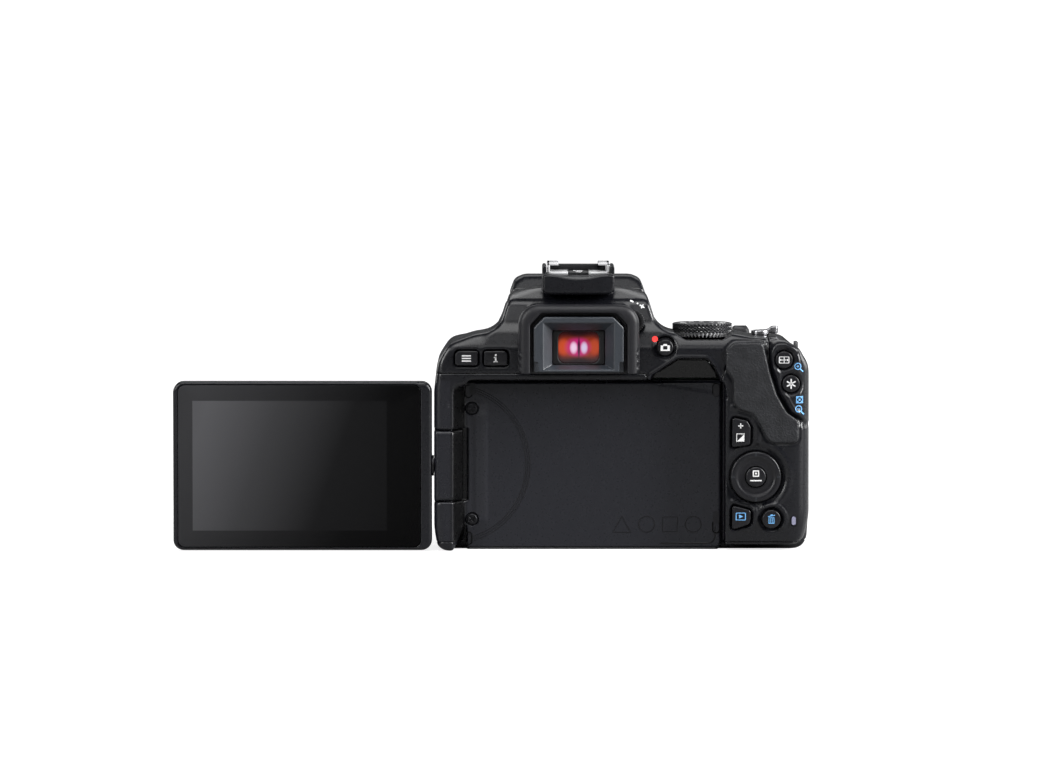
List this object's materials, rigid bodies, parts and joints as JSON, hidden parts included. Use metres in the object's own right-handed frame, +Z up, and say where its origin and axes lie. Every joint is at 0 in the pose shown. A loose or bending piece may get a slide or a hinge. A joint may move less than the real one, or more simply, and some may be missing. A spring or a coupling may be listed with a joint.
{
  "type": "reflex camera body",
  "caption": "Compact single-lens reflex camera body with a swing-out tilting rear screen, grip, dials, buttons, pop-up flash, accessory shoe and lens mount.",
  "frame": {"origin": "mouth of the tripod socket, in the base plane under the optical axis", "axes": "+X to the user's right, +Y out of the lens mount, +Z up"},
  "size_m": [0.2076, 0.0698, 0.0938],
  "materials": {
    "body_plastic": "fine-textured satin black polycarbonate",
    "button_plastic": "smooth black moulded caps",
    "soft_rubber": "matt black rubber",
    "grip_rubber": "leather-grained black rubber",
    "slate_plastic": "slate grey satin moulding",
    "dial_metal": "black anodised, knurled rim",
    "bright_metal": "bright plated metal",
    "shoe_steel": "bright pressed steel",
    "dark_steel": "blackened steel",
    "pin_steel": "ground steel pins",
    "dark_plastic": "black insulating plastic",
    "inner_plastic": "matt black light-absorbing plastic",
    "mirror_glass": "front-silvered glass",
    "clear_glass": "ground glass",
    "eyepiece_glass": "coated eyepiece lens",
    "screen_glass": "glossy cover glass over a dark display",
    "flash_lens": "clear ribbed flash window",
    "lamp_lens": "translucent lens",
    "blade_metal": "black coated blades",
    "sensor_glass": "filter glass over the sensor",
    "board": "circuit board",
    "frame_alloy": "cast chassis",
    "battery_case": "moulded battery pack"
  },
  "bodies": {
    "camera_body": {"rear_cover": "body_plastic", "front_cover": "body_plastic", "top_cover": "body_plastic", "base_cover": "body_plastic", "grip_skin": "grip_rubber", "thumb_pad": "grip_rubber", "recess_bumpers": "soft_rubber", "mount_ring": "bright_metal", "mount_contacts": "dark_plastic", "screws": "dark_steel", "strap_lugs": "bright_metal", "shoe_rail": "shoe_steel", "shoe_insert": "dark_plastic", "tripod_socket": "bright_metal", "hinge_pins": "pin_steel", "mirror_box": "inner_plastic", "focusing_screen": "clear_glass", "pentamirror": "inner_plastic", "eyepiece_lens": "eyepiece_glass", "focus_lamp": "lamp_lens", "access_lamp": "lamp_lens", "shutter_unit": "inner_plastic", "image_sensor": "sensor_glass", "main_board": "board", "main_frame": "frame_alloy", "battery": "battery_case"},
    "eyecup": {"eyecup_rubber": "soft_rubber", "eyecup_frame": "slate_plastic"},
    "flash": {"flash_housing": "body_plastic", "flash_window": "flash_lens"},
    "mode_dial": {"mode_dial": "dial_metal"},
    "power_lever": {"power_lever": "bright_metal"},
    "main_dial": {"main_dial": "button_plastic"},
    "shutter_button": {"shutter_button": "bright_metal"},
    "iso_button": {"iso_button": "button_plastic"},
    "menu_button": {"menu_button": "button_plastic"},
    "info_button": {"info_button": "button_plastic"},
    "live_view_button": {"live_view_button": "button_plastic"},
    "focus_point_button": {"focus_point_button": "button_plastic"},
    "lock_button": {"lock_button": "button_plastic"},
    "exposure_button": {"exposure_button": "button_plastic"},
    "cross_keys": {"cross_keys": "button_plastic"},
    "set_button": {"set_button": "button_plastic"},
    "playback_button": {"playback_button": "button_plastic"},
    "erase_button": {"erase_button": "button_plastic"},
    "dioptre_knob": {"dioptre_knob": "button_plastic"},
    "lens_release": {"lens_release_button": "button_plastic"},
    "lock_pin": {"lock_pin": "bright_metal"},
    "battery_door": {"battery_door": "body_plastic"},
    "battery_latch": {"battery_latch": "button_plastic"},
    "terminal_cover_lower": {"terminal_cover_lower": "soft_rubber"},
    "terminal_cover_upper": {"terminal_cover_upper": "soft_rubber"},
    "coupler_cover": {"coupler_cover": "soft_rubber"},
    "screen_arm": {"hinge_block": "body_plastic", "tilt_shaft": "dark_steel"},
    "screen": {"screen_shell": "body_plastic", "screen_glass": "screen_glass", "lcd_panel": "inner_plastic"},
    "mirror": {"reflex_mirror": "mirror_glass"},
    "shutter": {"shutter_blades": "blade_metal"}
  },
  "joints": [
    {"name": "eyecup_slide", "type": "slide", "parent": "camera_body", "child": "eyecup", "axis": [0, 0, 1], "range_m": [0, 0.024]},
    {"name": "flash_lift", "type": "hinge", "parent": "camera_body", "child": "flash", "pos_m": [0, 0.0032, 0.0856], "axis": [1, 0, 0], "range_deg": [0, 62]},
    {"name": "mode_dial_turn", "type": "hinge", "parent": "camera_body", "child": "mode_dial", "pos_m": [0.0409, -0.006, 0.0712], "axis": [0, 0, 1], "continuous": true},
    {"name": "power_lever_turn", "type": "hinge", "parent": "camera_body", "child": "power_lever", "pos_m": [0.0598, -0.0095, 0.07], "axis": [0, 0, 1], "range_deg": [-28, 28]},
    {"name": "main_dial_turn", "type": "hinge", "parent": "camera_body", "child": "main_dial", "pos_m": [0.0541, 0.0105, 0.0633], "axis": [1, 0, 0], "continuous": true},
    {"name": "shutter_button_press", "type": "slide", "parent": "camera_body", "child": "shutter_button", "axis": [0, 0, -1], "range_m": [0, 0.0012], "stiffness_N_per_m": 400},
    {"name": "iso_button_press", "type": "slide", "parent": "camera_body", "child": "iso_button", "axis": [0, 0, -1], "range_m": [0, 0.0005], "stiffness_N_per_m": 400},
    {"name": "menu_button_press", "type": "slide", "parent": "camera_body", "child": "menu_button", "axis": [0, 1, 0], "range_m": [0, 0.0006], "stiffness_N_per_m": 400},
    {"name": "info_button_press", "type": "slide", "parent": "camera_body", "child": "info_button", "axis": [0, 1, 0], "range_m": [0, 0.0006], "stiffness_N_per_m": 400},
    {"name": "live_view_button_press", "type": "slide", "parent": "camera_body", "child": "live_view_button", "axis": [0, 1, 0], "range_m": [0, 0.0006], "stiffness_N_per_m": 400},
    {"name": "focus_point_button_press", "type": "slide", "parent": "camera_body", "child": "focus_point_button", "axis": [0, 1, 0], "range_m": [0, 0.0006], "stiffness_N_per_m": 400},
    {"name": "lock_button_press", "type": "slide", "parent": "camera_body", "child": "lock_button", "axis": [0, 1, 0], "range_m": [0, 0.0006], "stiffness_N_per_m": 400},
    {"name": "exposure_button_press", "type": "slide", "parent": "camera_body", "child": "exposure_button", "axis": [0, 1, 0], "range_m": [0, 0.0006], "stiffness_N_per_m": 400},
    {"name": "playback_button_press", "type": "slide", "parent": "camera_body", "child": "playback_button", "axis": [0, 1, 0], "range_m": [0, 0.0006], "stiffness_N_per_m": 400},
    {"name": "erase_button_press", "type": "slide", "parent": "camera_body", "child": "erase_button", "axis": [0, 1, 0], "range_m": [0, 0.0006], "stiffness_N_per_m": 400},
    {"name": "set_button_press", "type": "slide", "parent": "camera_body", "child": "set_button", "axis": [0, 1, 0], "range_m": [0, 0.0006], "stiffness_N_per_m": 400},
    {"name": "cross_keys_press", "type": "slide", "parent": "camera_body", "child": "cross_keys", "axis": [0, 1, 0], "range_m": [0, 0.0004], "stiffness_N_per_m": 400},
    {"name": "dioptre_turn", "type": "hinge", "parent": "camera_body", "child": "dioptre_knob", "pos_m": [0.0176, -0.029, 0.075], "axis": [0, 1, 0], "range_deg": [-120, 120]},
    {"name": "lens_release_press", "type": "slide", "parent": "camera_body", "child": "lens_release", "axis": [0, -1, 0], "range_m": [0, 0.0025], "stiffness_N_per_m": 400},
    {"name": "lock_pin_travel", "type": "slide", "parent": "camera_body", "child": "lock_pin", "axis": [0, -1, 0], "range_m": [0, 0.0025]},
    {"name": "battery_door_swing", "type": "hinge", "parent": "camera_body", "child": "battery_door", "pos_m": [0.051, 0.00425, 0.0013], "axis": [0, 1, 0], "range_deg": [0, 95]},
    {"name": "battery_latch_slide", "type": "slide", "parent": "battery_door", "child": "battery_latch", "axis": [1, 0, 0], "range_m": [0, 0.0015], "stiffness_N_per_m": 400},
    {"name": "terminal_cover_lower_swing", "type": "hinge", "parent": "camera_body", "child": "terminal_cover_lower", "pos_m": [-0.04655, 0.008, 0.024], "axis": [0, 0, -1], "range_deg": [0, 110]},
    {"name": "terminal_cover_upper_swing", "type": "hinge", "parent": "camera_body", "child": "terminal_cover_upper", "pos_m": [-0.04655, 0.008, 0.0445], "axis": [0, 0, -1], "range_deg": [0, 110]},
    {"name": "coupler_cover_swing", "type": "hinge", "parent": "camera_body", "child": "coupler_cover", "pos_m": [0.07485, -0.0135, 0.025], "axis": [0, 0, 1], "range_deg": [0, 110]},
    {"name": "screen_swing", "type": "hinge", "parent": "camera_body", "child": "screen_arm", "pos_m": [-0.0423, -0.026, 0.02785], "axis": [0, 0, 1], "range_deg": [0, 180]},
    {"name": "screen_tilt", "type": "hinge", "parent": "screen_arm", "child": "screen", "pos_m": [-0.0478, -0.026, 0.02785], "axis": [-1, 0, 0], "range_deg": [-90, 180]},
    {"name": "mirror_flip", "type": "hinge", "parent": "camera_body", "child": "mirror", "pos_m": [0, -0.0049, 0.0481], "axis": [1, 0, 0], "range_deg": [0, 45]},
    {"name": "shutter_travel", "type": "slide", "parent": "camera_body", "child": "shutter", "axis": [0, 0, -1], "range_m": [0, 0.0166]}
  ],
  "couplings": [
    {"joint": "lock_pin_travel", "follows": "lens_release_press", "ratio": 1}
  ]
}
